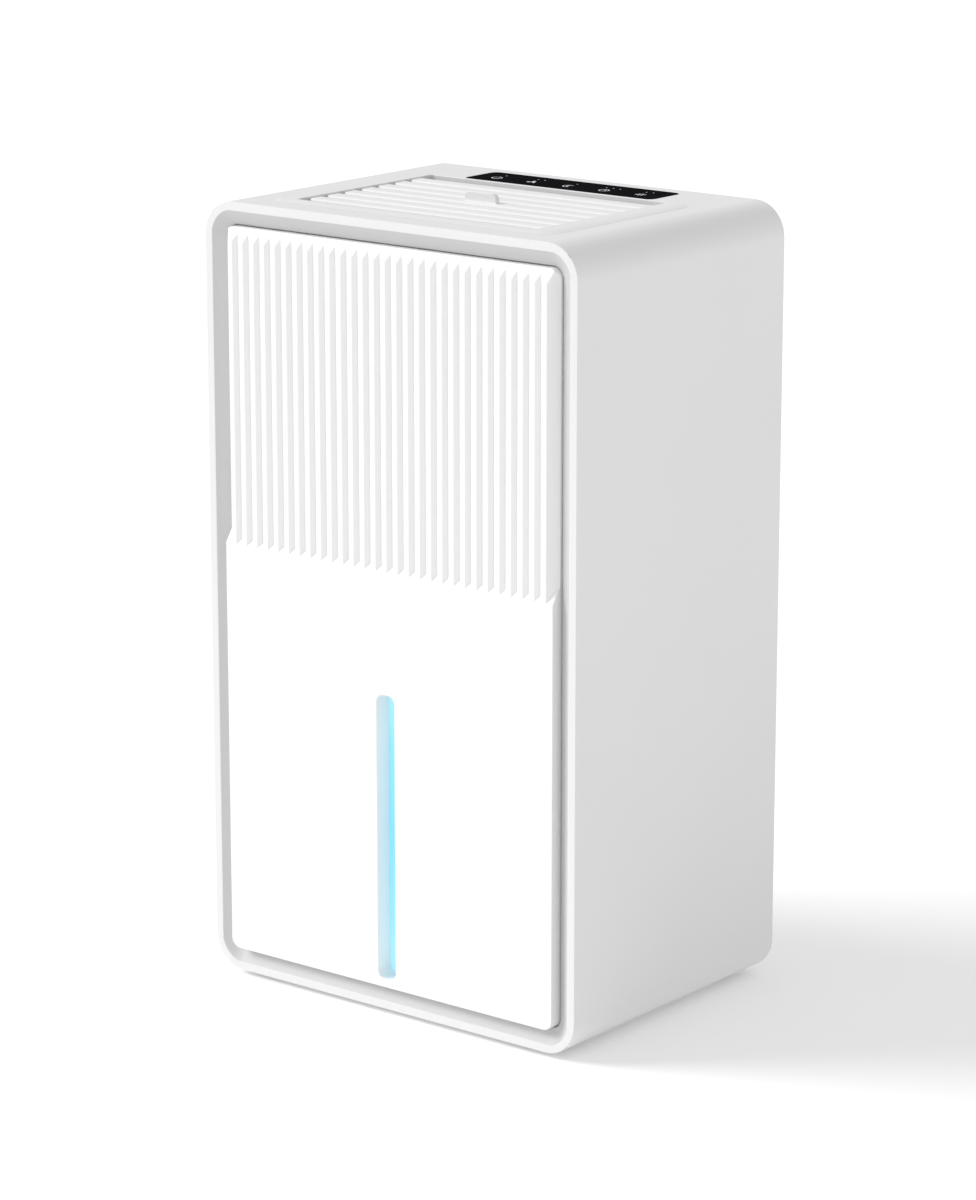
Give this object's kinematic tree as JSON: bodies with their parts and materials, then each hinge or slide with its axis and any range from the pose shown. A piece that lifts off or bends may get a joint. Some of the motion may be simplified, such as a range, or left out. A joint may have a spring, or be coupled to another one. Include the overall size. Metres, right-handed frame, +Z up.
{
  "type": "dehumidifier",
  "caption": "Upright cabinet dehumidifier with a fluted front panel, a lit slot, a louvred top outlet, touch controls and a rear pull-out water tank.",
  "frame": {"origin": "middle of the footprint, at the underside of the feet", "axes": "+Z up, the front panel faces -Y, +X is to the right seen from the front"},
  "size_m": [0.227, 0.1686, 0.3976],
  "materials": {
    "shell_white": "satin",
    "panel_white": "satin",
    "vane_white": "satin",
    "inner_grey": "matt",
    "light_diffuser": "translucent",
    "circuit_board": "satin",
    "touch_black": "polished",
    "filter_mesh": "woven",
    "tank_clear": "translucent",
    "float_orange": "matt",
    "magnet": "plain",
    "sink_aluminium": "extruded",
    "ceramic": "fired",
    "foam": "closed-cell foam",
    "screw_steel": "zinc plated",
    "fan_black": "satin",
    "copper_winding": "enamelled",
    "foot_rubber": "matt",
    "jack_black": "satin"
  },
  "bodies": {
    "casing": {"outer_shell": "shell_white", "front_panel": "panel_white", "light_bar": "light_diffuser", "light_housing": "inner_grey", "light_board": "circuit_board", "outlet_frame": "shell_white", "touch_glass": "touch_black", "control_board": "circuit_board", "rear_cover": "shell_white", "rear_screws": "screw_steel", "base_tray": "inner_grey", "deck": "inner_grey", "drip_tray": "inner_grey", "level_switch": "circuit_board", "bulkhead": "inner_grey", "cold_sink": "sink_aluminium", "hot_sink": "sink_aluminium", "cooler_left": "ceramic", "cooler_right": "ceramic", "foam_gasket": "foam", "clamp_screws": "screw_steel", "fan_duct": "inner_grey", "fan_frame": "fan_black", "fan_motor": "copper_winding", "fan_screws": "screw_steel", "power_board": "circuit_board", "power_jack": "jack_black", "humidity_sensor": "circuit_board", "foot_1": "foot_rubber", "foot_2": "foot_rubber", "foot_3": "foot_rubber", "foot_4": "foot_rubber"},
    "tank": {"tank_body": "tank_clear", "tank_face": "shell_white", "tank_lid": "inner_grey", "float_clip": "inner_grey"},
    "float": {"tank_float": "float_orange", "float_magnet": "magnet"},
    "rotor": {"fan_rotor": "fan_black"},
    "vane_1": {"louver_1": "vane_white"},
    "vane_2": {"louver_2": "vane_white"},
    "vane_3": {"louver_3": "vane_white"},
    "vane_4": {"louver_4": "vane_white"},
    "vane_5": {"louver_5": "vane_white"},
    "vane_6": {"louver_6": "vane_white"},
    "vane_7": {"louver_7": "vane_white"},
    "link": {"louver_link": "inner_grey"},
    "door": {"inlet_door": "shell_white", "inlet_filter": "filter_mesh"}
  },
  "joints": [
    {"name": "tank_pull", "type": "slide", "parent": "casing", "child": "tank", "axis": [0, 1, 0], "range_m": [0, 0.146]},
    {"name": "float_rise", "type": "slide", "parent": "tank", "child": "float", "axis": [0, 0, 1], "range_m": [0, 0.008]},
    {"name": "rotor_spin", "type": "hinge", "parent": "casing", "child": "rotor", "pos_m": [0, -0.00955, 0.3585], "axis": [0, 0, 1], "continuous": true},
    {"name": "vane_4_tilt", "type": "hinge", "parent": "casing", "child": "vane_4", "pos_m": [0, -0.00955, 0.3859], "axis": [1, 0, 0], "range_deg": [-45, 45]},
    {"name": "vane_1_tilt", "type": "hinge", "parent": "casing", "child": "vane_1", "pos_m": [0, -0.04795, 0.3859], "axis": [1, 0, 0], "range_deg": [-45, 45]},
    {"name": "vane_2_tilt", "type": "hinge", "parent": "casing", "child": "vane_2", "pos_m": [0, -0.03515, 0.3859], "axis": [1, 0, 0], "range_deg": [-45, 45]},
    {"name": "vane_3_tilt", "type": "hinge", "parent": "casing", "child": "vane_3", "pos_m": [0, -0.02235, 0.3859], "axis": [1, 0, 0], "range_deg": [-45, 45]},
    {"name": "vane_5_tilt", "type": "hinge", "parent": "casing", "child": "vane_5", "pos_m": [0, 0.00325, 0.3859], "axis": [1, 0, 0], "range_deg": [-45, 45]},
    {"name": "vane_6_tilt", "type": "hinge", "parent": "casing", "child": "vane_6", "pos_m": [0, 0.01605, 0.3859], "axis": [1, 0, 0], "range_deg": [-45, 45]},
    {"name": "vane_7_tilt", "type": "hinge", "parent": "casing", "child": "vane_7", "pos_m": [0, 0.02885, 0.3859], "axis": [1, 0, 0], "range_deg": [-45, 45]},
    {"name": "link_pivot", "type": "hinge", "parent": "vane_4", "child": "link", "pos_m": [0.079, -0.00955, 0.3799], "axis": [1, 0, 0], "range_deg": [-45, 45]},
    {"name": "door_tilt", "type": "hinge", "parent": "casing", "child": "door", "pos_m": [0, 0.0825, 0.18705], "axis": [-1, 0, 0], "range_deg": [0, 35]}
  ],
  "couplings": [
    {"joint": "vane_1_tilt", "follows": "vane_4_tilt", "ratio": 1},
    {"joint": "vane_2_tilt", "follows": "vane_4_tilt", "ratio": 1},
    {"joint": "vane_3_tilt", "follows": "vane_4_tilt", "ratio": 1},
    {"joint": "vane_5_tilt", "follows": "vane_4_tilt", "ratio": 1},
    {"joint": "vane_6_tilt", "follows": "vane_4_tilt", "ratio": 1},
    {"joint": "vane_7_tilt", "follows": "vane_4_tilt", "ratio": 1},
    {"joint": "link_pivot", "follows": "vane_4_tilt", "ratio": -1}
  ]
}
